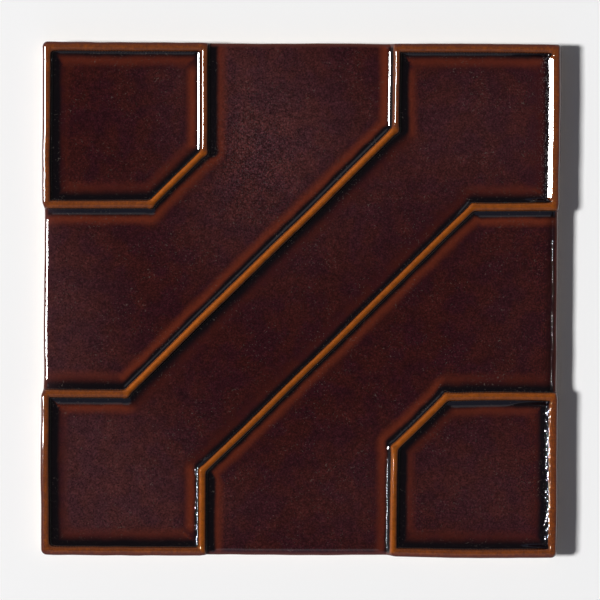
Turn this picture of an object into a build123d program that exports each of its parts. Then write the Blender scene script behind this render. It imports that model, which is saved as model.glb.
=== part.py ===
from build123d import *

import os
from math import radians, sin, sqrt, tan

# A square ceramic wall tile with a raised line pattern, lying face up on its back.
# The origin is the centre of the back face, +Z points out of the decorated face, and
# +Y is the top edge as the tile hangs on a wall. All sizes are in millimetres.

# Outline of the tile
tile_side = 150.0
rim_height = 10.0
relief_depth = 2.0
plan_corner_radius = 1.6
side_draft = 2.0
face_edge_radius = 0.95
back_edge_radius = 0.6

# Line pattern, measured between the centrelines of the ridges
lane_width = 55.2
band_width = 31.2
corner_cut = 15.1

# Cross-section of the ridges, whose widths are taken where their faces would meet sharp
crest_width = 1.7
rim_crest_width = 2.0
flank_angle = 65.0
crown_radius = 1.2
foot_radius = 1.2

# Shallow straight grooves that key the back into its adhesive
key_width = 5.0
key_depth = 1.0
key_pitch = 16.0
key_count = 8
key_margin = 11.0

# How far a cutting tool reaches past the surface it cuts
clearance = 1.0

field_height = rim_height - relief_depth
half_side = tile_side / 2
half_lane = lane_width / 2
half_crest = crest_width / 2
band_rise = band_width / sqrt(2)

# A crown and a foot share each flank, and a crest has room for two crowns
tangent_share = tan(radians(flank_angle) / 2)
flank_run = relief_depth / tan(radians(flank_angle))
flank_length = relief_depth / sin(radians(flank_angle))
crown = min(crown_radius, 0.95 * half_crest / tangent_share, 0.5 * flank_length / tangent_share)
foot = min(foot_radius, 0.95 * flank_length / tangent_share - crown)
crown_tangent = crown * tangent_share
wall_run = flank_run + foot * tangent_share

# The round along the face's outer edge stays on the rim's flat top, also at the tile's corners
# where the rounded outline comes closest to it, and runs over the ends of the crowns
rim_flat = rim_crest_width - crown_tangent
corner_radius = min(plan_corner_radius, 0.9 * rim_crest_width)
corner_room = (rim_flat - (1 - sqrt(0.5)) * corner_radius) * sqrt(2)
face_edge = min(face_edge_radius, 0.9 * crown, 0.95 * rim_flat, 0.9 * corner_room)

# Places of the sharp crest edges that bound the sunken fields
cell_edge = half_lane + half_crest
lane_edge = half_lane - half_crest
rim_edge = half_side - rim_crest_width
outside = half_side + wall_run + 2 * clearance
mitre = half_crest * tan(radians(45) / 2)
cut_reach = half_lane + corner_cut
band_reach = half_lane + band_rise

# The fields, each drawn anticlockwise: a small cell with a cut corner,
small_cell = [
    (-cell_edge, rim_edge),
    (-rim_edge, rim_edge),
    (-rim_edge, cell_edge),
    (-cut_reach - mitre, cell_edge),
    (-cell_edge, cut_reach + mitre),
]
# the lane beside it, which runs out over two sides of the tile,
open_lane = [
    (-lane_edge, outside),
    (-lane_edge, cut_reach - mitre),
    (-cut_reach + mitre, lane_edge),
    (-outside, lane_edge),
    (-outside, -lane_edge),
    (-band_reach - mitre, -lane_edge),
    (lane_edge, band_reach + mitre),
    (lane_edge, outside),
]
# and one half of the diagonal band that joins the other two corners
half_band = [
    (rim_edge, cell_edge),
    (rim_edge, rim_edge),
    (cell_edge, rim_edge),
    (cell_edge, band_reach - mitre),
    (-band_reach + mitre, -cell_edge),
]


def turned(corners):
    """The same corners after half a turn of the tile."""
    return [(-x, -y) for x, y in corners]


def draw_wall_cutter():
    """The space beside a field's wall, with X 0 at the sharp crest edge and X towards the field."""
    inner = wall_run + clearance
    above = relief_depth + clearance
    crown_arc = CenterArc((-crown_tangent, relief_depth - crown), crown, 90, -flank_angle)
    foot_arc = CenterArc((wall_run, foot), foot, 270 - flank_angle, flank_angle)
    Line(crown_arc @ 1, foot_arc @ 0)
    Polyline(foot_arc @ 1, (inner, 0), (inner, above), (-crown_tangent, above), crown_arc @ 0)


def cut_field(corners):
    """Sinks a field: its wall follows the crest edge, and its floor fills the middle."""
    with BuildLine() as crest_edge:
        Polyline(*[(x, y, field_height) for x, y in corners], close=True)
    path = crest_edge.wire()
    along = path % 0
    across = Vector(0, 0, 1).cross(along)
    with BuildSketch(Plane(origin=path @ 0, x_dir=across, z_dir=along)) as wall:
        with BuildLine():
            draw_wall_cutter()
        make_face()
    sweep(sections=wall.sketch, path=path, transition=Transition.RIGHT, mode=Mode.SUBTRACT)
    with BuildSketch(Plane.XY.offset(field_height)) as floor:
        with BuildLine():
            Polyline(*corners, close=True)
        make_face()
        offset(amount=-(wall_run + clearance / 2), kind=Kind.INTERSECTION, mode=Mode.REPLACE)
    extrude(floor.sketch, amount=relief_depth + clearance, mode=Mode.SUBTRACT)


def is_side(face):
    return abs(face.normal_at().Z) < sin(radians(side_draft + 5))


with BuildPart() as tile:
    # A blank as thick as the rims, large enough for the lanes to run out of it
    with BuildSketch():
        Rectangle(2 * outside, 2 * outside)
    extrude(amount=rim_height)

    # What stays between the five fields is the pattern of ridges and rims
    for field in (small_cell, turned(small_cell), open_lane, turned(open_lane)):
        cut_field(field)
    cut_field(half_band + turned(half_band))

    # The tile's own outline, drawn at the face and drafted towards the back
    with BuildSketch(Plane.XY.offset(rim_height)):
        RectangleRounded(tile_side, tile_side, corner_radius)
    extrude(amount=-rim_height, taper=side_draft, mode=Mode.INTERSECT)

    # The face's outer edge rises and falls with the rims, the ridge ends and the open lanes
    side_edges = tile.faces().filter_by(is_side).edges()
    face_outline = side_edges.filter_by(lambda e: e.center().Z > field_height - clearance / 2)
    fillet(face_outline, radius=face_edge)
    fillet(tile.faces().sort_by(Axis.Z)[0].edges(), radius=back_edge_radius)

    # Keying grooves across the back
    with BuildSketch():
        with GridLocations(0, key_pitch, 1, key_count):
            Rectangle(tile_side - 2 * key_margin, key_width)
    extrude(amount=key_depth, mode=Mode.SUBTRACT)

tile.part.label = "relief_tile"

os.makedirs("parts", exist_ok=True)
export_step(tile.part, "parts/relief_tile.step")
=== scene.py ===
from math import cos, pi, radians, sin, sqrt, tan

import bpy
import numpy as np
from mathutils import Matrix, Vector
from mathutils.geometry import delaunay_2d_cdt


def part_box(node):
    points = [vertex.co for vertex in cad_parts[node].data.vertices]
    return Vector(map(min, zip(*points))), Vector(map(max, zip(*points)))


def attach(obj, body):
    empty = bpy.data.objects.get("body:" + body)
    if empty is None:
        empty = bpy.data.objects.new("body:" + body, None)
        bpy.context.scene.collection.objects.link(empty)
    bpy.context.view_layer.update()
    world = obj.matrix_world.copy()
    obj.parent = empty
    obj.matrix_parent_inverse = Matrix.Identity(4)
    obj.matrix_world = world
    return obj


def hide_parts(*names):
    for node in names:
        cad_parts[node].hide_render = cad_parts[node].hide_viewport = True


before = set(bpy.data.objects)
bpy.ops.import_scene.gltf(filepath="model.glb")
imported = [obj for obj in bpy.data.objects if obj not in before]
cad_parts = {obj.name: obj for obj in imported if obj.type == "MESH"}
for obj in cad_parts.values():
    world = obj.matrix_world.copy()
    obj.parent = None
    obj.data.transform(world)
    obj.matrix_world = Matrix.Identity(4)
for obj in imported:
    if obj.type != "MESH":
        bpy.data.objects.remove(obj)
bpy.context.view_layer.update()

# Lengths are in millimetres up to the finished mesh, which is in metres
MM = 0.001

# The upper corner of the tile's box, which the glazed shape stays inside
box_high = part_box("relief_tile")[1]
rim_height = box_high.z / MM
half_side = box_high.x / MM

# The line pattern of the solid, between the centrelines of the ridges
lane_width = 55.2
band_width = 31.2
corner_cut = 15.1
relief_depth = 2.0
crest_width = 1.7
rim_crest_width = 2.2
corner_radii = {(1, 1): 0.9, (-1, 1): 1.6, (-1, -1): 1.6, (1, -1): 1.7}
side_draft = radians(2)
back_edge_radius = 0.6

# Keying grooves across the back
key_width = 5.0
key_depth = 1.0
key_pitch = 16.0
key_count = 8
key_margin = 11.0
key_wall = 0.35

# The glazed section of a wall, as slopes in degrees by distance: a round crest, a steep flank
# and a shallow pool of glaze that fills its foot
crown_radius = 0.9
flank_angle = 75
pool_slopes = [(0, 75), (0.15, 22), (0.75, 14), (1.9, 5), (3.6, 0)]

# The foot of the diagonals inside the band, where the glaze lies nearly flat
flat_pool_slopes = [(0, 75), (0.12, 9), (1.5, 5), (3.0, 0)]

# The left flanks of the two ridges right of the middle lean more gently
leaning_slopes = [(-0.85, 0), (-0.75, 12), (-0.62, 23), (-0.3, 40), (0.4, 50), (3, 55)]
low_leaning_slopes = [(-0.62, 0), (-0.58, 32), (-0.3, 42), (0.4, 50), (3, 55)]

# The right rims slumped inwards under their glaze, so a long ramp stands in place of a flank
upper_ramp_slopes = [(-0.3, 0), (-0.1, 16), (1.1, 19.5), (1.3, 14), (2, 11), (3, 9), (6, 7.5), (15, 0)]
lower_ramp_slopes = [(-0.3, 0), (-0.1, 12.2), (0.9, 13.1), (1.3, 11.5), (2, 11), (3, 9), (6, 7.5), (15, 0)]

# The face's outer edge by distance inside the outline, rounder where it stands out on the right,
# with a low bead along the right end of the open lane
edge_slopes = [(0, 80), (0.03, 66), (0.1, 50), (0.2, 36), (0.5, 24), (0.65, 18), (0.78, 13), (1.6, 0)]
right_rim_slopes = [(0, 76), (0.4, 64), (0.5, 45), (0.68, 20), (1.1, 9), (1.9, 0)]
right_lane_slopes = [(0, 76), (0.3, 62), (0.5, 45), (0.7, 22), (0.95, 8), (1.3, 0), (1.54, -14),
                     (1.7, -17.65), (1.84, -14), (2.1, -5), (2.7, 0)]
lane_edge_growth = 0.5

# How far the glazed shape stays inside the box, at the sides and under the top
side_margin = 0.02
top_margin = 0.07

# Handmade unevenness of the face
corner_softness = 0.22
rim_corner_softness = 0.6
edge_slack = 0.42
wander = 0.12
wander_wavelength = 38
edge_wander = 0.05
edge_wavelength = 7
upper_lean = 0.22
lower_lean = 0.1
lane_insets = {"left": 0.6, "right": 0.35, "top": 0.1, "bottom": 0.3}
pattern_shift = (-0.59, -0.19)
stretch_x = 0.0025
stretch_y = -0.0038
keystone = 0.003
pinch_y = 0.15
field_swell = 0.05
swell_wavelength = 45

# How much of the flat foot the lower left cell's right ridge has
low_flatness = 0.55

# Places of the ridges
half_lane = lane_width / 2
half_crest = crest_width / 2
cut_reach = half_lane + corner_cut
band_reach = half_lane + band_width / sqrt(2)
field_height = rim_height - relief_depth
half_outline = half_side - edge_slack
outside = half_side + 5

# Stretches of the drawing over which something goes from nothing to full, along X or Y
corner_zone = (62, 66)
rim_end_zone = (37, 33)
right_rim_zone = (66, 69)
right_cell_zone = (55, 60)
ramp_zone = (half_outline - 18, half_outline - 16)
stipple_zone = (-30, -38)

# Rows of mesh points beside every crest edge, and rings along the face's outer edge
wall_rows = [-0.85, -0.66, -0.5, -0.36, -0.22, -0.09, 0.03, 0.14, 0.25, 0.36, 0.47, 0.6, 0.78, 1.0,
             1.15, 1.3, 1.5, 1.8, 2.2, 2.7, 3.4, 4.3]
edge_rings = [0.9, 0.72, 0.56, 0.42, 0.3, 0.18, 0.09, 0.03, 0.0]

# Walls by the field they bound and the way they face: end of the dark pool at their foot, place of the red
# halo, its strength at a ridge and at a rim, and how far the pool's dark colour climbs the crest, a
# painted shade that is largest on the sides turned away from the lamp
wall_kinds = [
    ("any", (-1, 0), 0.8, 2.5, 1.05, 0.05, 0.0),
    ("any", (0, -1), 1.55, 3.1, 0.95, 0.65, -0.15),
    ("any", (0, 1), 1.3, 4.1, 0.35, 0.3, -0.15),
    ("any", (1, 0), 2.5, 3.8, 0.68, 0.02, 0.1),
    ("lane", (-1, 1), 1.7, 3.0, 0.95, 0.95, -0.15),
    ("lane", (1, -1), 0.8, 2.3, 0.85, 0.85, 0.3),
    ("band", (-1, 1), 1.2, 2.6, 0.05, 0.05, 0.1),
    ("band", (1, -1), 1.2, 4.0, 0.02, 0.02, 0.15),
    ("cell", (-1, 1), 1.2, 3.5, 0.40, 0.40, 0.0),
    ("cell", (1, -1), 1.5, 3.8, 0.35, 0.35, 0.2),
    ("upper ramp", (-1, 0), 0.7, 2.3, 0.1, 0.1, 0.0),
    ("lower ramp", (-1, 0), 2.2, 4.0, 0.05, 0.05, 0.0),
    ("top rim", (0, -1), 0.8, 2.8, 0.65, 0.65, -0.15),
]

# How much the kinds that name one place outweigh the others
place_weight = 20

# How orange the thin glaze of the crests is
rim_warmth = 0.15
full_warmth = 0.9
level_warmth = 0.25
level_warmth_gain = 0.35

# How rough the glaze is with fine bumps, how strong its fine grain is, and how thick painted glints, fine
# pale specks, lie in it. The patch values are for the upper lane's painted sheen, a speckled reflection of
# the lamp
slumped_roughness = 0.25
bead_roughness = 0.12
middle_smoothing = 0.4
usual_grain = 2.2
sheen_patch_grain = 1.8
strip_glints = 0.8
sheen_patch_glints = 0.07

# Paler patches of the fields: middle, half sizes, turn and strength.
# Over the upper lane they are a painted sheen, a reflection of the lamp in the glaze; elsewhere they make
# the field's tone paler
haze_and_sheen_patches = [
    (-60, -56, 30, 28, 0, 1.15),
    (-68, -5, 16, 30, 0, 0.8),
    (-10, 55, 24, 40, -0.6, 1.0),
    (-24, 22, 16, 22, -0.7, 0.4),
    (50, 50, 26, 24, 0, 0.65),
    (52, -52, 24, 22, 0, 0.45),
    (62, -62, 22, 16, 0, 0.2),
    (64, -5, 16, 22, 0, 0.25),
    (-24, -62, 18, 12, 0, 0.3),
    (14, -58, 20, 18, 0, 0.35),
]

# Colours of the glaze on the crests, in the pools at their feet, in the halos and in the fields, and of
# pale specks, of the paler patches with their painted sheen, and of painted glints
crest_brown = (0.120, 0.030, 0.010)
crest_orange = (0.33, 0.080, 0.006)
edge_brown = (0.085, 0.024, 0.018)
pool_black = (0.0035, 0.0020, 0.0032)
halo_red = (0.098, 0.0160, 0.0065)
field_red = (0.0275, 0.0042, 0.0037)
field_plum = (0.0205, 0.0030, 0.0050)
haze_and_sheen_tint = (0.0180, 0.0084, 0.0088)
speck_colour = (0.15, 0.12, 0.10)
painted_glint_colour = (0.55, 0.52, 0.52)

# Colours of the clay body and of the room
clay_dark = (0.36, 0.235, 0.145)
clay_pale = (0.56, 0.42, 0.29)
wall_pale = (0.60, 0.60, 0.61)
ceiling_dim = (0.050, 0.049, 0.050)
backdrop = (0.86, 0.86, 0.86)

# Pale things round the room: the way to each, its half size in degrees and its colour
panels = [
    ((0, -1, 1.1), 22, (0.15, 0.18, 0.27)),
    ((0, -0.30, 0.95), 4, (0.50, 0.50, 0.56)),
    ((-0.36, 0.36, 0.86), 9, (0.14, 0.14, 0.16)),
    ((-0.34, 0.34, 0.88), 4, (0.55, 0.55, 0.60)),
    ((1, 0, 0.45), 20, (0.15, 0.14, 0.14)),
]


def ripple(u, v, wavelength, seed):
    """A smooth uneven value between about -1 and 1, from a few crossing waves."""
    rng = np.random.default_rng(seed)
    total = 0
    for _ in range(5):
        turn, phase = rng.uniform(0, 2 * pi, 2)
        wave_number = 2 * pi / (wavelength * rng.uniform(0.7, 1.5))
        total = total + np.sin(wave_number * (u * cos(turn) + v * sin(turn)) + phase)
    return total / 2.6


def smooth_step(value, start, end):
    """0 at the start and 1 at the end, which may lie on either side of it."""
    t = np.clip((value - start) / (end - start), 0, 1)
    return t * t * (3 - 2 * t)


def turned(line):
    """The same line after half a turn of the tile."""
    return [(-x, -y) for x, y in line]


def ridge_lines():
    """Centrelines of the four ridges, each running out over two sides of the tile."""
    cell_line = [
        (-half_lane, outside), (-half_lane, cut_reach), (-cut_reach, half_lane), (-outside, half_lane),
    ]
    band_line = [
        (half_lane, outside), (half_lane, band_reach), (-band_reach, -half_lane), (-outside, -half_lane),
    ]
    return [cell_line, turned(cell_line), band_line, turned(band_line)]


def rim_lines():
    """The outline's stretches with a rim, one round each corner, which end inside a ridge."""
    start = half_lane + rim_crest_width - half_crest
    return [
        [(sx * start, sy * half_outline), (sx * half_outline, sy * half_outline),
         (sx * half_outline, sy * start)]
        for sx in (-1, 1) for sy in (-1, 1)
    ]


def distance_to_stretch(u, v, start, end):
    """Distance of points from one straight stretch of a line."""
    ax, ay = start
    dx, dy = end[0] - ax, end[1] - ay
    t = np.clip(((u - ax) * dx + (v - ay) * dy) / (dx * dx + dy * dy), 0, 1)
    return np.hypot(u - ax - t * dx, v - ay - t * dy)


def softness(u, v):
    """How softly walls meet: more so in the tile's corners and at the ends of the right rims."""
    corner = smooth_step(np.abs(u), *corner_zone) * smooth_step(np.abs(v), *corner_zone)
    joint = smooth_step(np.abs(v), half_lane, half_lane + 1) * smooth_step(np.abs(v), *rim_end_zone)
    share = corner + joint * smooth_step(u, *right_rim_zone)
    return corner_softness + (rim_corner_softness - corner_softness) * share


def crest_shares(u, v):
    """Nearness of a point to each stretch of ridge and rim, with the kind of stretch."""
    spread = softness(u, v)
    kinds = ((ridge_lines(), half_crest, "ridge"), (rim_lines(), rim_crest_width, "rim"))
    for lines, width, name in kinds:
        for line in lines:
            for start, end in zip(line, line[1:]):
                gap = distance_to_stretch(u, v, start, end) - width
                along = (end[0] - start[0], end[1] - start[1])
                right_rim = name == "rim" and start[0] == end[0] == half_outline
                yield np.exp(-gap / spread), "right rim" if right_rim else name, along


def crest_gap(u, v, left_out=None):
    """Distance from the nearest sharp crest edge, negative on a crest, blended at corners."""
    total = sum(share for share, name, _ in crest_shares(u, v) if name != left_out)
    return -softness(u, v) * np.log(total + 1e-300)


def crest_warmth(u, v):
    """How orange the thin glaze of the nearest crest is: most on the diagonals, least on rims."""
    total, warm = 1e-300, 0
    for share, name, along in crest_shares(u, v):
        if name != "ridge":
            warmth = rim_warmth
        elif along[0] and along[1]:
            warmth = full_warmth
        elif along[1]:
            warmth = full_warmth * smooth_step(-v, 0, 40)
        else:
            warmth = level_warmth + level_warmth_gain * smooth_step(u, 0, 40)
        total = total + share
        warm = warm + share * warmth
    return warm / total


def outline_gap(u, v):
    """Distance inside the face's rounded square outline."""
    radius = sum(
        size * (np.sign(u + 1e-9) == side_u) * (np.sign(v + 1e-9) == side_v)
        for (side_u, side_v), size in corner_radii.items()
    )
    straight = half_outline - radius
    over_x = np.maximum(np.abs(u) - straight, 0)
    over_y = np.maximum(np.abs(v) - straight, 0)
    inner = np.minimum(np.maximum(np.abs(u), np.abs(v)) - straight, 0)
    return radius - np.hypot(over_x, over_y) - inner


def slopes_at(places, slopes):
    """Steepness at some places, from a table of places and slopes in degrees."""
    return np.tan(np.radians(np.interp(places, *zip(*slopes))))


def round_crown(gaps):
    """Slopes of a round crest, which ends in the steep flank."""
    tangent = crown_radius * tan(radians(flank_angle / 2))
    return np.tan(np.arcsin(np.clip((gaps + tangent) / crown_radius, 0, sin(radians(flank_angle)))))


def wall_table(crown, pool):
    """Heights over the field at the wall gaps, for a wall whose flank is as long as it must be."""
    shortest, longest = 0.0, 3.0
    for _ in range(30):
        flank_end = (shortest + longest) / 2
        slope = np.minimum(crown, slopes_at(wall_gaps - flank_end, pool))
        if slope.sum() * gap_step > relief_depth:
            longest = flank_end
        else:
            shortest = flank_end
    return relief_depth - np.cumsum(slope) * gap_step + slope * gap_step / 2


def ramp_table(slopes):
    """Heights over the field at the wall gaps, with the slopes scaled so that they end on it."""
    fall = np.cumsum(slopes_at(wall_gaps, slopes))
    return relief_depth * (1 - fall / fall[-1])


def edge_table(slopes):
    """How far the face has dropped at the edge places, going outwards."""
    slope = slopes_at(edge_places, slopes)
    return np.cumsum(slope[::-1])[::-1] * (edge_places[1] - edge_places[0])


gap_step = 0.001
wall_gaps = np.arange(-2, 15, gap_step)
round_wall = wall_table(round_crown(wall_gaps), pool_slopes)
flat_foot_wall = wall_table(round_crown(wall_gaps), flat_pool_slopes)
leaning_wall = wall_table(slopes_at(wall_gaps, leaning_slopes), pool_slopes)
low_leaning_wall = wall_table(slopes_at(wall_gaps, low_leaning_slopes), flat_pool_slopes)
upper_ramp = ramp_table(upper_ramp_slopes)
lower_ramp = ramp_table(lower_ramp_slopes)
edge_places = np.linspace(0, 3, 6001)
usual_edge = edge_table(edge_slopes)
right_rim_edge = edge_table(right_rim_slopes)
right_lane_edge = edge_table(right_lane_slopes)


def lane_share(w):
    """1 where a side of the tile is an open lane, 0 where it has a rim."""
    return 1 - smooth_step(np.abs(w), half_lane - 1.5, half_lane + 1.0)


def slump(v):
    """1 beyond the open lane, where a right rim slumped, and 0 beside the lane."""
    return smooth_step(v, half_lane - 0.5, half_lane + 0.5)


def flat_foot(u, v):
    """1 beside the diagonals, inside the band and the small cells, and below the top rims.

    The lower left cell's right ridge has a part of it.
    """
    top_gap = half_outline - rim_crest_width - v
    from_ridge = np.abs(u) - half_lane - half_crest
    from_rim = half_outline - rim_crest_width - np.abs(u)
    across = np.abs(u - v) / sqrt(2)
    band = (across < band_width / 2) * smooth_step(np.abs(u + v), 76, 66)
    cut_place = (half_lane + cut_reach) / sqrt(2)
    cut = (across > cut_place) * smooth_step(across, cut_place + 5, cut_place + 3.5)
    top = smooth_step(v, 60, 62) * smooth_step(np.minimum(from_ridge, from_rim) - top_gap, -0.5, 1.0)
    low = (np.abs(u + half_lane + 4.7) < 4.7) * smooth_step(-v, 44, 50)
    return band + cut * smooth_step(np.abs(u + v), 16, 11) + top + low_flatness * low


def leaning(u, v, reach):
    """1 at the left flank of the upright ridge right of the middle, from a height up."""
    beside = (u < half_lane) * smooth_step(u, half_lane - 8, half_lane - 6)
    return beside * smooth_step(v, reach - 1, reach + 3)


def ramp_height(u, v):
    """Height over the field of the glaze that slumped inwards from the two right rims."""
    gap = half_outline - rim_crest_width - u
    upper = np.interp(gap, wall_gaps, upper_ramp) * slump(v)
    lower = np.interp(gap, wall_gaps, lower_ramp) * slump(-v)
    return upper + lower


def soft_maximum(first, second, blend=0.03):
    """The larger of two values, rounded where they are alike."""
    return blend * np.logaddexp(first / blend, second / blend)


def wall_height(gap, u, v):
    """Height over the field at a distance from the sharp crest edge."""
    wall = np.interp(gap, wall_gaps, round_wall)
    changes = (
        (leaning(u, v, band_reach), leaning_wall),
        (leaning(u, -v, cut_reach), low_leaning_wall),
        (flat_foot(u, v), flat_foot_wall),
    )
    for share, table in changes:
        wall = wall + share * (np.interp(gap, wall_gaps, table) - wall)
    return wall


def slumped_share(gap):
    """How much of the slumped glaze there is at a distance from the other crests."""
    return smooth_step(gap, 0.6, 1.8)


def drawing_height(u, v):
    """Height of the glazed face over a point of the drawing, with its outer edge rounded."""
    wall = wall_height(crest_gap(u, v), u, v)
    gap = crest_gap(u, v, left_out="right rim")
    slumped = slumped_share(gap) * smooth_step(u, *ramp_zone)
    wall = wall + slumped * (soft_maximum(wall_height(gap, u, v), ramp_height(u, v)) - wall)
    lane = np.where(np.abs(u) > np.abs(v), lane_share(v), lane_share(u))
    inside = outline_gap(u, v)
    fall = np.interp(inside / (1 + lane_edge_growth * lane), edge_places, usual_edge)
    right_fall = np.interp(inside, edge_places, right_rim_edge)
    right_fall = right_fall + lane * (np.interp(inside, edge_places, right_lane_edge) - right_fall)
    right = smooth_step(u - np.abs(v), -2, 1)
    swell = field_swell * (0.5 + 0.5 * ripple(u, v, swell_wavelength, 11))
    return field_height + wall - top_margin - swell - fall - right * (right_fall - fall)


def diagonal_drift(u, v):
    """How far the real diagonals lie towards the lower right of their places in the drawing."""
    across, along = (u - v) / sqrt(2), (u + v) / sqrt(2)
    bow_width, cut_place = 16, 50
    cut_drift, middle_drift = 0.31, 0.30
    bow = across / bow_width * np.exp(-(across / bow_width) ** 2)
    bow = bow * (0.25 + 0.78 * np.exp(-(along / 30) ** 2))
    bow = bow * np.where(across < 0, 0.65, 1.0)
    near_cut = np.exp(-((np.abs(across) - cut_place) / 8) ** 2 - (along / 25) ** 2)
    near_middle = np.exp(-(along / 60) ** 2 - (across / 60) ** 2)
    return bow + cut_drift * np.sign(across) * near_cut + middle_drift * near_middle


def wandered(u, v):
    """Where a point of the drawing lies on the real, slightly uneven tile."""
    near_x = smooth_step(np.abs(u), half_outline - 8, half_outline)
    near_y = smooth_step(np.abs(v), half_outline - 8, half_outline)
    inset_x = np.where(u < 0, lane_insets["left"], lane_insets["right"])
    inset_y = np.where(v < 0, lane_insets["bottom"], lane_insets["top"])
    pull_x = inset_x * lane_share(v) * near_x * np.sign(u)
    pull_y = inset_y * lane_share(u) * near_y * np.sign(v)
    middle_x = 1 - (u / half_outline) ** 2
    middle_y = 1 - (v / half_outline) ** 2
    drift = diagonal_drift(u, v) / sqrt(2)
    lean = upper_lean * np.exp(-(u / 45) ** 2) * smooth_step(v, 5, 40)
    pinch = pinch_y * np.tanh(v / 15) * (1 - 0.35 * u / half_outline)
    x = u * (1 + stretch_x + keystone * v / half_outline) + drift + pattern_shift[0] * middle_x - pull_x
    x = x + lean + lower_lean * smooth_step(-v, 45, 65)
    y = v * (1 + stretch_y) - pinch - drift + pattern_shift[1] * middle_y - pull_y
    x = x + wander * ripple(u, v, wander_wavelength, 1)
    x = x + edge_wander * near_x * ripple(u, v, edge_wavelength, 3)
    y = y + wander * ripple(u, v, wander_wavelength, 2)
    y = y + edge_wander * near_y * ripple(u, v, edge_wavelength, 4)
    limit = half_side - side_margin
    return np.clip(x, -limit, limit), np.clip(y, -limit, limit)


def face_point(u, v):
    """The point of the real tile's face that belongs to a point of the drawing."""
    x, y = wandered(u, v)
    return np.stack([x, y, drawing_height(u, v)], -1)


def face_normal(u, v, step=0.004):
    """Unit normals of the glazed face, from small steps on the drawing."""
    across = face_point(u + step, v) - face_point(u - step, v)
    up = face_point(u, v + step) - face_point(u, v - step)
    normal = np.cross(across, up)
    return normal / np.linalg.norm(normal, axis=1, keepdims=True)


def offset_line(line, distance):
    """The line moved to its left by a distance, with mitred corners."""
    points = np.array(line, float)
    along = np.diff(points, axis=0)
    along /= np.linalg.norm(along, axis=1, keepdims=True)
    left = np.stack([-along[:, 1], along[:, 0]], 1)
    moved = [points[0] + left[0] * distance]
    for before, after, corner in zip(left, left[1:], points[1:-1]):
        moved.append(corner + (before + after) * distance / (1 + before @ after))
    moved.append(points[-1] + left[-1] * distance)
    return np.array(moved)


def sampled(line, spacing):
    """Evenly spaced points along each stretch of a line."""
    found = []
    for start, end in zip(line, line[1:]):
        count = max(1, round(np.linalg.norm(end - start) / spacing))
        found.append(start + np.outer(np.arange(count) / count, end - start))
    found.append(line[-1:])
    return np.concatenate(found)


def side_places(start, end, spacing):
    """Places along one side of the outline: even, and in step with the rows beside each ridge."""
    crossing = half_lane + np.array([side * (half_crest + row) for row in wall_rows for side in (-1, 1)])
    even = np.arange(start, end, spacing)
    row_reach = half_crest + wall_rows[-1] + spacing / 2
    even = even[np.abs(np.abs(even) - half_lane) > row_reach]
    return np.unique(np.round(np.concatenate([even, crossing, -crossing]), 4))


def outline_points(spacing=0.8, corner_steps=7):
    """Points round the face's outline and the directions out of it, anticlockwise."""
    points, outward = [], []
    for quarter in range(4):
        turn = quarter * pi / 2
        way_out = np.array([cos(turn), sin(turn)])
        way_on = np.array([-sin(turn), cos(turn)])
        radius_before = corner_radii[tuple(int(n) for n in np.round(way_out - way_on))]
        radius = corner_radii[tuple(int(n) for n in np.round(way_out + way_on))]
        for place in side_places(radius_before - half_outline, half_outline - radius, spacing):
            points.append(way_out * half_outline + way_on * place)
            outward.append(way_out)
        centre = (way_out + way_on) * (half_outline - radius)
        for i in range(corner_steps):
            angle = turn + pi / 2 * i / corner_steps
            direction = np.array([cos(angle), sin(angle)])
            points.append(centre + direction * radius)
            outward.append(direction)
    return np.array(points), np.array(outward)


def thinned(points, apart):
    """The points without those that share a small cell with an earlier one."""
    cells = np.round(points / apart).astype(int)
    _, first = np.unique(cells, axis=0, return_index=True)
    return points[np.sort(first)]


def triangles_of(points, border):
    """Delaunay triangles of points in the plane, inside the closed border that numbers name."""
    edges = [(int(a), int(b)) for a, b in zip(border, np.roll(border, -1))]
    result = delaunay_2d_cdt([Vector(p) for p in points], edges, [], 1, 1e-9)
    kept = np.array([origins[0] for origins in result[3]])
    return kept[np.array(result[2])]


def face_drawing(spacing=0.8, field_spacing=1.9):
    """All points of the face: rows along every ridge and rim, and a loose mesh between them."""
    groups = []
    for line in ridge_lines():
        for row in wall_rows:
            for side in (-1, 1):
                groups.append(sampled(offset_line(line, side * (row + half_crest)), spacing))
    rim_path = np.array([(-1, 1), (-1, -1), (1, -1), (1, 1), (-1, 1)], float)
    for row in wall_rows:
        groups.append(sampled(rim_path * (half_outline - rim_crest_width - row), spacing))
    count = int(2 * half_outline / field_spacing)
    steps = (np.arange(count) - (count - 1) / 2) * field_spacing
    grid_u, grid_v = np.meshgrid(steps, steps)
    grid_u = grid_u + field_spacing / 2 * (np.arange(count) % 2)[:, None]
    field_points = np.stack([grid_u.ravel(), grid_v.ravel()], 1)
    field_points = field_points[crest_gap(*field_points.T) > wall_rows[-1] + 0.8]
    points = np.concatenate(groups + [field_points])
    points = points[outline_gap(*points.T) > edge_rings[0] + 0.1]
    return thinned(points, 0.06)


def way_down(u, v, step=0.05):
    """The way from the nearest crest, as the steps of the gap along X and Y."""
    slope_u = (crest_gap(u + step, v) - crest_gap(u - step, v)) / (2 * step)
    slope_v = (crest_gap(u, v + step) - crest_gap(u, v - step)) / (2 * step)
    return slope_u, slope_v


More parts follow.
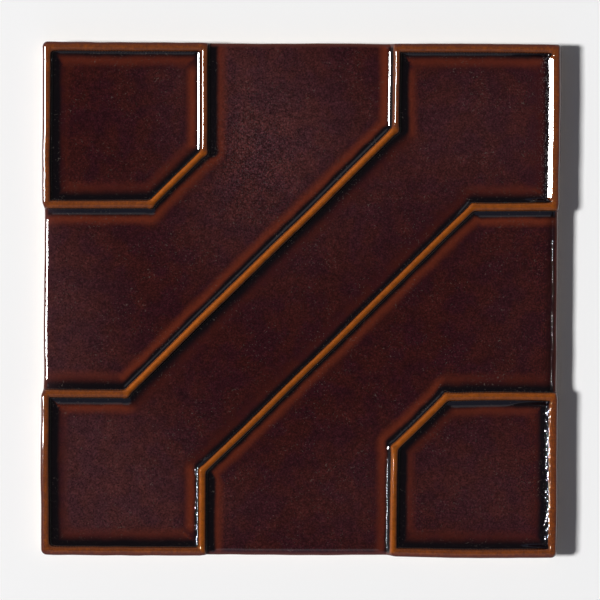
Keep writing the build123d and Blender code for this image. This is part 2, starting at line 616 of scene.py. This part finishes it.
def wall_traits(u, v):
    """How the glaze lies beside the nearest wall, with the painted shade on the crests: see wall_kinds,
    blended by the way it faces.
    """
    slope_u, slope_v = way_down(u, v)
    fainter = 1 - 0.35 * smooth_step(u - v, 60, 80)
    inner_rim = smooth_step(outline_gap(u, v), 9, 6) * (1 - lane_share(u)) * (1 - lane_share(v))
    band = np.abs(u - v) < band_width / sqrt(2)
    cell = np.abs(u - v) > half_lane + cut_reach
    fields = {
        "any": 1.0, "band": band, "cell": cell, "lane": 1.0 - band - cell,
        "upper ramp": place_weight * slump(v) * smooth_step(u, *right_cell_zone),
        "lower ramp": place_weight * slump(-v) * smooth_step(u, *right_cell_zone),
        "top rim": place_weight * smooth_step(v, 58, 62) * (1 - lane_share(u)),
    }
    total, traits = 1e-9, 0
    for field, (across, up), pool_end, place, strength, rim_strength, painted_shade_climb in wall_kinds:
        share = np.maximum((slope_u * across + slope_v * up) / sqrt(across ** 2 + up ** 2), 0) ** 8
        share = share * fields[field]
        mean_strength = (strength + (rim_strength - strength) * inner_rim) * fainter
        total = total + share
        traits = traits + share * np.stack([pool_end + 0 * u, place + 0 * u, mean_strength, painted_shade_climb + 0 * u])
    return traits / total


def painted_crest_shading(u, v):
    """Painted light and shade on a crest, between -1 and 1: positive on its upper left side, towards the
    lamp, and negative on its lower right side, more so on the orange ones.
    """
    slope_u, slope_v = way_down(u, v)
    outward = smooth_step(crest_gap(u, v), -half_crest, -0.1)
    strength = crest_warmth(u, v) * (1 - 0.5 * smooth_step(u - v, 0, 30))
    return (slope_v - slope_u) / sqrt(2) * outward * strength


def stipple(u, v):
    """Where the glaze is rough with fine bumps: low down, at the feet of walls that face left.

    The edge of the upper right ramp and the bead along the right lane are rough too.
    """
    facing_left = np.clip(-way_down(u, v)[0], 0, 1) ** 2
    gap = crest_gap(u, v)
    near_rim = smooth_step(u, *right_cell_zone)
    start = smooth_step(gap + near_rim, 0.05, 0.4)
    foot = facing_left * start * smooth_step(gap, 2.0, 1.3) * smooth_step(v - 6 * near_rim, *stipple_zone)
    slumped_edge = smooth_step(gap, 0.7, 1.2) * smooth_step(gap, 3.5, 2.0) * near_rim * slump(v)
    bead = smooth_step(outline_gap(u, v), 2.3, 1.7) * near_rim * lane_share(v)
    rough = 1.0 - middle_smoothing * smooth_step(u, 0, 10) * smooth_step(u, 35, 30)
    return foot * rough + slumped_roughness * slumped_edge * facing_left + bead_roughness * bead


def edge_shade(u, v):
    """How bright the glaze is beside the right edge of the open lane, where it lies thick."""
    darkening = 0.55
    right = smooth_step(u - np.abs(v), -2, 1) * lane_share(v)
    return 1 - darkening * right * smooth_step(outline_gap(u, v), 4.4, 2.0)


def field_haze_and_sheen(u, v):
    """Where the field is drawn paler and more speckled: along the left lane's edge, in paler patches of
    its tone, and in a painted sheen over the upper lane.
    """
    edge_strength, edge_reach = 1.2, 3
    away_from_walls = smooth_step(crest_gap(u, v), 2.0, 6.5)
    edge = edge_strength * np.exp(-(half_outline + u) / edge_reach) * lane_share(v)
    total = 0
    for x, y, wide, long, turn, amount in haze_and_sheen_patches:
        across = (u - x) * cos(turn) - (v - y) * sin(turn)
        along = (u - x) * sin(turn) + (v - y) * cos(turn)
        total = total + amount * np.exp(-(across / wide) ** 2 - (along / long) ** 2)
    return edge + total * away_from_walls


def painted_sheen_patch(u, v):
    """1 in the middle of the upper lane's leathery-looking patch, a painted sheen that stands for a
    speckled reflection of the lamp, and 0 away from it.
    """
    return np.exp(-((u + 13) / 13) ** 2 - ((v - 42) / 19) ** 2)


def field_grain_and_sheen(u, v):
    """How strong the fine grain of the glaze is: most in one patch of the upper lane, where it is a
    painted sheen.
    """
    return usual_grain + sheen_patch_grain * painted_sheen_patch(u, v)


def painted_glints(u, v):
    """How thick the painted glints lie: fine pale specks beside the lamp's reflection strip on the slumped
    upper right rim, and in the upper lane's painted sheen.
    """
    from_strip = half_outline - rim_crest_width - 1.0 - u
    beside = strip_glints * np.exp(-np.maximum(from_strip, 0) / 0.9) * smooth_step(from_strip, -0.2, 0.2)
    open_gap = crest_gap(u, v, left_out="right rim")
    beside = beside * slump(v) * slumped_share(open_gap) * smooth_step(u, *right_cell_zone)
    return beside + sheen_patch_glints * painted_sheen_patch(u, v)


def side_drawing(points, outward):
    """Rows down the sides, from under the face's rounded edge to the back, as (inset, height)."""
    top = drawing_height(*points.T)
    rows = []
    low = back_edge_radius
    for share in np.linspace(0, 1, 9)[1:]:
        height = top + (low - top) * share
        rows.append((np.tan(side_draft) * (top - height), height))
    for angle in np.radians([22, 45, 68, 90]):
        inset = tan(side_draft) * (top - low) + back_edge_radius * (1 - cos(angle))
        rows.append((inset, np.full(len(points), back_edge_radius * (1 - sin(angle)))))
    return rows


def back_drawing(outer):
    """Points of the back face inside its outer row, with rows round each keying groove."""
    groups = []
    half_length = half_side - key_margin
    for i in range(key_count):
        centre = (i - (key_count - 1) / 2) * key_pitch
        for grow in (-key_wall, -0.05, 0.0, 0.2):
            x, y = half_length + grow, key_width / 2 + grow
            corners = np.array([(-x, centre - y), (x, centre - y), (x, centre + y), (-x, centre + y)])
            groups.append(sampled(np.vstack([corners, corners[:1]]), 2.0)[:-1])
    steps = np.arange(-66, 67, 6.0)
    grid_x, grid_y = np.meshgrid(steps, steps)
    groups.append(np.stack([grid_x.ravel(), grid_y.ravel()], 1))
    points = np.concatenate(groups)
    reach = np.abs(outer).max() - 1.5
    return thinned(points[np.abs(points).max(1) < reach], 0.04)


def groove_depth(x, y):
    """How far the back lies above the floor, which is more inside a keying groove."""
    half_length = half_side - key_margin
    nearest = np.clip(np.round(y / key_pitch + (key_count - 1) / 2), 0, key_count - 1)
    centre = (nearest - (key_count - 1) / 2) * key_pitch
    inside = np.minimum(half_length - np.abs(x), key_width / 2 - np.abs(y - centre))
    return key_depth * np.clip(inside / key_wall, 0, 1)


def tile_mesh():
    """The glazed tile as one closed mesh, with the lay of the glaze and its painted light, sheen and
    glints stored on its points.
    """
    outline, outward = outline_points()
    ring = len(outline)
    rings = [outline - outward * inside for inside in edge_rings]
    drawing = np.concatenate([face_drawing()] + rings)
    top_faces = triangles_of(drawing, np.arange(len(drawing) - ring, len(drawing)))
    u, v = drawing.T
    points = face_point(u, v)
    normals = face_normal(u, v)
    edge_x, edge_y = wandered(*outline.T)
    normals[-ring:] = np.column_stack([outward, np.zeros(ring)])
    faces = [tuple(f) for f in top_faces]

    # The sides, and the back with its grooves
    point_groups = [points]
    upper = np.arange(len(points) - ring, len(points))
    count = len(points)
    following = np.roll(np.arange(ring), -1)
    for inset, height in side_drawing(outline, outward):
        ring_points = np.column_stack([edge_x, edge_y, height])
        ring_points[:, :2] -= outward * np.asarray(inset)[..., None]
        point_groups.append(ring_points)
        lower = np.arange(count, count + ring)
        count += ring
        for i, j in enumerate(following):
            faces.append((upper[i], lower[i], lower[j], upper[j]))
        upper = lower
    outer = point_groups[-1][:, :2]
    inner = back_drawing(outer)
    flat = np.concatenate([outer, inner])
    numbers = np.concatenate([upper, np.arange(count, count + len(inner))])
    point_groups.append(np.column_stack([inner, groove_depth(*inner.T)]))
    for triangle in triangles_of(flat, np.arange(ring)):
        faces.append(tuple(numbers[triangle][::-1]))

    all_points = np.concatenate(point_groups)
    mesh = bpy.data.meshes.new("glazed_tile")
    mesh.from_pydata((all_points * MM).tolist(), [], [tuple(int(i) for i in f) for f in faces])
    mesh.validate()
    mesh.polygons.foreach_set("use_smooth", np.ones(len(mesh.polygons), bool))

    # The face's values come first, then one value for all of the sides and the back
    far_away = 20
    beyond = len(all_points) - len(u)
    pool_end, halo_place, halo_strength, painted_shade_climb = wall_traits(u, v)
    open_gap = crest_gap(u, v, left_out="right rim")
    # The pool colour's climb up the crest is a painted shade, largest on sides turned from the lamp
    other_gap = open_gap + painted_shade_climb
    spread = (slump(v) + 0.3 * slump(-v)) * slumped_share(open_gap)
    rim_gap = half_outline - rim_crest_width - u - spread
    rim_gap = rim_gap + far_away * (1 - slump(v) - slump(-v))
    stored = {
        "crest_gap": (-soft_maximum(-other_gap, -rim_gap, corner_softness), 5.0),
        "pool_end": (pool_end, 1.0),
        "halo_place": (halo_place, 3.0),
        "halo_strength": (halo_strength, 0.0),
        "crest_warmth": (crest_warmth(u, v), 0.0),
        # painted light and shade on the crests, by the side they turn to the lamp
        "painted_crest_shading": (painted_crest_shading(u, v), 0.0),
        "edge_shade": (edge_shade(u, v), 1.0),
        "stipple": (stipple(u, v), 0.0),
        "inside_edge": (np.maximum(outline_gap(u, v), 0), 0.0),
        # paler patches of the field, with a painted sheen over the upper lane
        "haze_and_sheen": (field_haze_and_sheen(u, v), 0.0),
        # the grain's strength, raised where the upper lane's painted sheen lies
        "grain": (field_grain_and_sheen(u, v), usual_grain),
        # painted glints beside the lamp's strip and in the upper lane's sheen
        "painted_glints": (painted_glints(u, v), 0.0),
    }
    for name, (values, rest) in stored.items():
        layer = mesh.attributes.new(name, "FLOAT", "POINT")
        layer.data.foreach_set("value", np.concatenate([values, np.full(beyond, rest)]).astype(np.float32))
    below_face = mesh.attributes.new("below_face", "FLOAT", "POINT")
    depth = np.where(np.arange(len(all_points)) < len(u), 0, rim_height - all_points[:, 2])
    below_face.data.foreach_set("value", depth.astype(np.float32))
    exact = np.zeros((len(all_points), 3))
    exact[:len(normals)] = normals
    mesh.normals_split_custom_set_from_vertices(exact.tolist())
    return mesh


def add_node(tree, kind, **settings):
    node = tree.nodes.new(kind)
    for name, value in settings.items():
        setattr(node, name, value)
    return node


def feed(tree, socket, value):
    """Sets a socket to a number or colour, or links it to another socket."""
    if isinstance(value, bpy.types.NodeSocket):
        tree.links.new(value, socket)
    else:
        socket.default_value = value


def calculated(tree, operation, *values):
    """The result of a Math node on numbers or sockets."""
    node = add_node(tree, "ShaderNodeMath", operation=operation)
    for socket, value in zip(node.inputs, values):
        feed(tree, socket, value)
    return node.outputs[0]


def stepped(tree, value, start, end):
    """0 below the start and 1 above the end, smooth between them."""
    node = add_node(tree, "ShaderNodeMapRange", interpolation_type="SMOOTHSTEP")
    feed(tree, node.inputs["Value"], value)
    feed(tree, node.inputs["From Min"], start)
    feed(tree, node.inputs["From Max"], end)
    return node.outputs["Result"]


def mixed(tree, share, first, second, blend="MIX"):
    """A colour from two others, each of them a colour or another socket."""
    node = add_node(tree, "ShaderNodeMix", data_type="RGBA", blend_type=blend)
    feed(tree, node.inputs[0], share)
    for socket, colour in ((node.inputs[6], first), (node.inputs[7], second)):
        feed(tree, socket, colour if isinstance(colour, bpy.types.NodeSocket) else (*colour, 1))
    return node.outputs[2]


def stored_value(tree, name):
    return add_node(tree, "ShaderNodeAttribute", attribute_name=name).outputs["Fac"]


def noise(tree, place, size, detail=2.0):
    """Noise about 0 whose features have the given size in millimetres."""
    node = add_node(tree, "ShaderNodeTexNoise")
    node.inputs["Scale"].default_value = 1 / (size * MM)
    node.inputs["Detail"].default_value = detail
    tree.links.new(place, node.inputs["Vector"])
    return calculated(tree, "SUBTRACT", node.outputs["Fac"], 0.5)


def scaled(tree, colour, factor):
    node = add_node(tree, "ShaderNodeVectorMath", operation="SCALE")
    feed(tree, node.inputs[0], colour)
    feed(tree, node.inputs["Scale"], factor)
    return node.outputs[0]


def fine_grain_and_sheen(tree, place, gap):
    """Brightness of the fine light grain in the glaze, about 1: calm beside walls. In the upper lane's
    patch it is a speckled painted sheen.
    """
    fine = noise(tree, place, 0.45, 1.0)
    middle = noise(tree, place, 1.3)
    coarse = noise(tree, place, 4.5)
    both = calculated(tree, "MULTIPLY_ADD", middle, 0.35, fine)
    both = calculated(tree, "MULTIPLY_ADD", coarse, 0.25, both)
    away = calculated(tree, "MULTIPLY_ADD", stepped(tree, gap, 3.0, 7.0), 0.75, 0.25)
    rough = calculated(tree, "MULTIPLY", stored_value(tree, "grain"), away)
    natural_base = 2.718
    return calculated(tree, "POWER", natural_base, calculated(tree, "MULTIPLY", both, rough))


def specks(tree, place, spacing, radius, share):
    """Small round specks, one in each cell of the given spacing where a chance allows it."""
    cells = add_node(tree, "ShaderNodeTexVoronoi", voronoi_dimensions="2D")
    cells.inputs["Scale"].default_value = 1 / (spacing * MM)
    tree.links.new(place, cells.inputs["Vector"])
    chance = add_node(tree, "ShaderNodeSeparateColor")
    tree.links.new(cells.outputs["Color"], chance.inputs[0])
    near = calculated(tree, "LESS_THAN", cells.outputs["Distance"], radius / spacing)
    lucky = calculated(tree, "LESS_THAN", chance.outputs[0], share)
    brightness = calculated(tree, "MULTIPLY", chance.outputs[1], lucky)
    return calculated(tree, "MULTIPLY", near, brightness)


def threads(tree, place):
    """Short thin bright threads, along the places where a noise passes through 0."""
    line = calculated(tree, "ABSOLUTE", noise(tree, place, 1.5, 1.0))
    line = stepped(tree, line, 0.022, 0.006)
    broken = stepped(tree, noise(tree, place, 0.8, 1.0), 0.07, 0.13)
    return calculated(tree, "MULTIPLY", line, broken)


def glaze_colour(tree, place):
    """The colour of the glaze, from amber on a crest through a black pool to the oxblood field, with
    painted light and shade on the crests, a painted sheen and painted glints.
    """
    gap = stored_value(tree, "crest_gap")
    haze_and_sheen = stored_value(tree, "haze_and_sheen")
    unsteady = calculated(tree, "MULTIPLY_ADD", noise(tree, place, 5), 0.9, gap)
    pool_end = stored_value(tree, "pool_end")
    halo_place = stored_value(tree, "halo_place")
    halo_width = 2.6
    halo_end = calculated(tree, "ADD", halo_place, halo_width)
    field = mixed(tree, stepped(tree, noise(tree, place, 7, 4.0), -0.12, 0.12), field_red, field_plum)
    halo = mixed(tree, stored_value(tree, "halo_strength"), field, halo_red)
    outward = mixed(tree, stepped(tree, unsteady, pool_end, halo_place), pool_black, halo)
    outward = mixed(tree, stepped(tree, unsteady, halo_place, halo_end), outward, field)
    # Paler patches added to the field; over the upper lane they are a painted sheen
    outward = mixed(tree, haze_and_sheen, outward, haze_and_sheen_tint, "ADD")
    # Fine grain, which stands for a speckled painted sheen in the upper lane
    outward = scaled(tree, outward, fine_grain_and_sheen(tree, place, gap))
    dots = calculated(tree, "ADD", specks(tree, place, 1.3, 0.12, 0.5), threads(tree, place))
    patchy = stepped(tree, noise(tree, place, 9), -0.06, 0.14)
    dots = calculated(tree, "MULTIPLY", dots, calculated(tree, "MULTIPLY_ADD", patchy, 0.28, 0.06))
    outward = mixed(tree, dots, outward, speck_colour)
    # Painted glints: pale specks beside the lamp's strip on the upper right rim and in the upper lane's
    # sheen
    glint_dots = specks(tree, place, 0.55, 0.13, 0.7)
    glint_dots = calculated(tree, "MULTIPLY", glint_dots, stored_value(tree, "painted_glints"))
    outward = mixed(tree, glint_dots, outward, painted_glint_colour)
    outward = scaled(tree, outward, stored_value(tree, "edge_shade"))

    mottle = calculated(tree, "MULTIPLY", noise(tree, place, 1.6), 0.55)
    mottle = calculated(tree, "ADD", noise(tree, place, 0.5), mottle)
    stored_warmth = stored_value(tree, "crest_warmth")
    warmth = calculated(tree, "ADD", stored_warmth, mottle)
    crest = mixed(tree, calculated(tree, "MAXIMUM", warmth, 0.0), crest_brown, crest_orange)
    brightness = calculated(tree, "MULTIPLY_ADD", noise(tree, place, 2.0), 0.5, 1.0)
    brightness = calculated(tree, "MULTIPLY_ADD", stored_warmth, -0.36, brightness)
    # Painted light and shade: crests lighter on the side towards the lamp, darker on the side away from it
    brightness = calculated(tree, "MULTIPLY_ADD", stored_value(tree, "painted_crest_shading"), 0.55, brightness)
    crest = scaled(tree, crest, brightness)
    uneven = calculated(tree, "MULTIPLY_ADD", mottle, 0.4, gap)
    face = mixed(tree, stepped(tree, uneven, -0.1, 0.4), crest, outward)
    inside = calculated(tree, "MULTIPLY_ADD", mottle, 0.5, stored_value(tree, "inside_edge"))
    return mixed(tree, stepped(tree, inside, 0.1, 1.4), edge_brown, face)


def glaze_material():
    """Oxblood glaze over a buff clay body, which is bare low down on the sides and on the back."""
    material = bpy.data.materials.new("oxblood_glaze")
    material.use_nodes = True
    tree = material.node_tree
    shader = tree.nodes["Principled BSDF"]
    place = add_node(tree, "ShaderNodeTexCoord").outputs["Object"]
    below_face = stored_value(tree, "below_face")
    ragged = calculated(tree, "MULTIPLY_ADD", noise(tree, place, 6, 3.0), 3.0, below_face)
    bare = stepped(tree, ragged, 6.4, 6.7)
    clay_shade = calculated(tree, "MULTIPLY_ADD", noise(tree, place, 1.2, 4.0), 1.2, 0.5)
    clay = mixed(tree, clay_shade, clay_dark, clay_pale)
    colour = mixed(tree, bare, glaze_colour(tree, place), clay)
    feed(tree, shader.inputs["Base Color"], colour)
    glaze_roughness, clay_roughness = 0.045, 0.835
    roughness = calculated(tree, "MULTIPLY_ADD", bare, clay_roughness - glaze_roughness, glaze_roughness)
    feed(tree, shader.inputs["Roughness"], roughness)
    shader.inputs["IOR"].default_value = 1.52
    bump = add_node(tree, "ShaderNodeBump")
    bump.inputs["Strength"].default_value = 0.4
    bump.inputs["Distance"].default_value = 0.02 * MM
    fine_height, rough_height = 0.5, 10.0
    fine = calculated(tree, "MULTIPLY", noise(tree, place, 0.45), fine_height)
    rough = calculated(tree, "MULTIPLY", noise(tree, place, 0.55, 0.0), stored_value(tree, "stipple"))
    feed(tree, bump.inputs["Height"], calculated(tree, "MULTIPLY_ADD", rough, rough_height, fine))
    feed(tree, shader.inputs["Normal"], bump.outputs["Normal"])
    return material


def make_tile():
    tile = bpy.data.objects.new("glazed_relief_tile", tile_mesh())
    bpy.context.scene.collection.objects.link(tile)
    tile.data.materials.append(glaze_material())
    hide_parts("relief_tile")
    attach(tile, "root")
    return tile


def make_floor():
    """A plain pale floor under the tile."""
    reach = 6.0
    mesh = bpy.data.meshes.new("floor")
    corners = [(-reach, -reach, 0), (reach, -reach, 0), (reach, reach, 0), (-reach, reach, 0)]
    mesh.from_pydata(corners, [], [(0, 1, 2, 3)])
    floor = bpy.data.objects.new("floor", mesh)
    bpy.context.scene.collection.objects.link(floor)
    material = bpy.data.materials.new("white_paper")
    material.use_nodes = True
    shader = material.node_tree.nodes["Principled BSDF"]
    shader.inputs["Base Color"].default_value = (0.87, 0.868, 0.862, 1)
    shader.inputs["Roughness"].default_value = 0.9
    mesh.materials.append(material)


def make_world():
    """A dim room with pale walls low down and a pale window beyond the tile's lower edge."""
    world = bpy.data.worlds.new("studio")
    bpy.context.scene.world = world
    world.use_nodes = True
    tree = world.node_tree
    background = tree.nodes["Background"]
    parts = add_node(tree, "ShaderNodeSeparateXYZ")
    direction = add_node(tree, "ShaderNodeTexCoord").outputs["Generated"]
    feed(tree, parts.inputs["Vector"], direction)
    height = parts.outputs["Z"]
    room = mixed(tree, stepped(tree, height, 0.1, 0.34), wall_pale, ceiling_dim)
    for (x, y, z), reach, colour in panels:
        towards = add_node(tree, "ShaderNodeVectorMath", operation="DOT_PRODUCT")
        feed(tree, towards.inputs[0], direction)
        towards.inputs[1].default_value = Vector((x, y, z)).normalized()
        share = stepped(tree, towards.outputs["Value"], cos(radians(reach + 2)), cos(radians(reach - 1)))
        room = mixed(tree, share, room, colour)
    seen = add_node(tree, "ShaderNodeLightPath").outputs["Is Camera Ray"]
    feed(tree, background.inputs["Color"], mixed(tree, seen, room, backdrop))
    background.inputs["Strength"].default_value = 1.0


def make_lamp():
    """A soft lamp beyond the tile's left side, which throws its shadow to the right."""
    elevation = radians(54)
    distance = 9.0
    along_y = -0.074
    data = bpy.data.lights.new("key_lamp", "AREA")
    data.shape = "RECTANGLE"
    data.size = 0.822
    data.size_y = 1.26
    data.energy = 915
    lamp = bpy.data.objects.new("key_lamp", data)
    lamp.location = (-distance * cos(elevation), along_y, distance * sin(elevation))
    lamp.rotation_euler = (-lamp.location).to_track_quat("-Z", "Y").to_euler()
    bpy.context.scene.collection.objects.link(lamp)


def make_camera():
    """Looks straight down from over the tile's upper half, with its frame shifted to the middle."""
    pixel = 0.2885
    frame_width = 600 * pixel
    distance = 1390.0
    offset = 40
    turn = 0.0058
    middle = Vector((-0.09, -0.12))
    place = Vector((middle.x - offset * sin(turn), middle.y + offset))
    data = bpy.data.cameras.new("camera")
    data.sensor_width = 36
    data.lens = data.sensor_width * distance / frame_width
    data.shift_y = -offset / frame_width
    camera = bpy.data.objects.new("camera", data)
    camera.location = (place.x * MM, place.y * MM, (rim_height + distance) * MM)
    camera.rotation_euler = (0, 0, turn)
    bpy.context.scene.collection.objects.link(camera)
    bpy.context.scene.camera = camera


make_tile()
make_floor()
make_world()
make_lamp()
make_camera()
bpy.context.scene.view_settings.view_transform = "Standard"
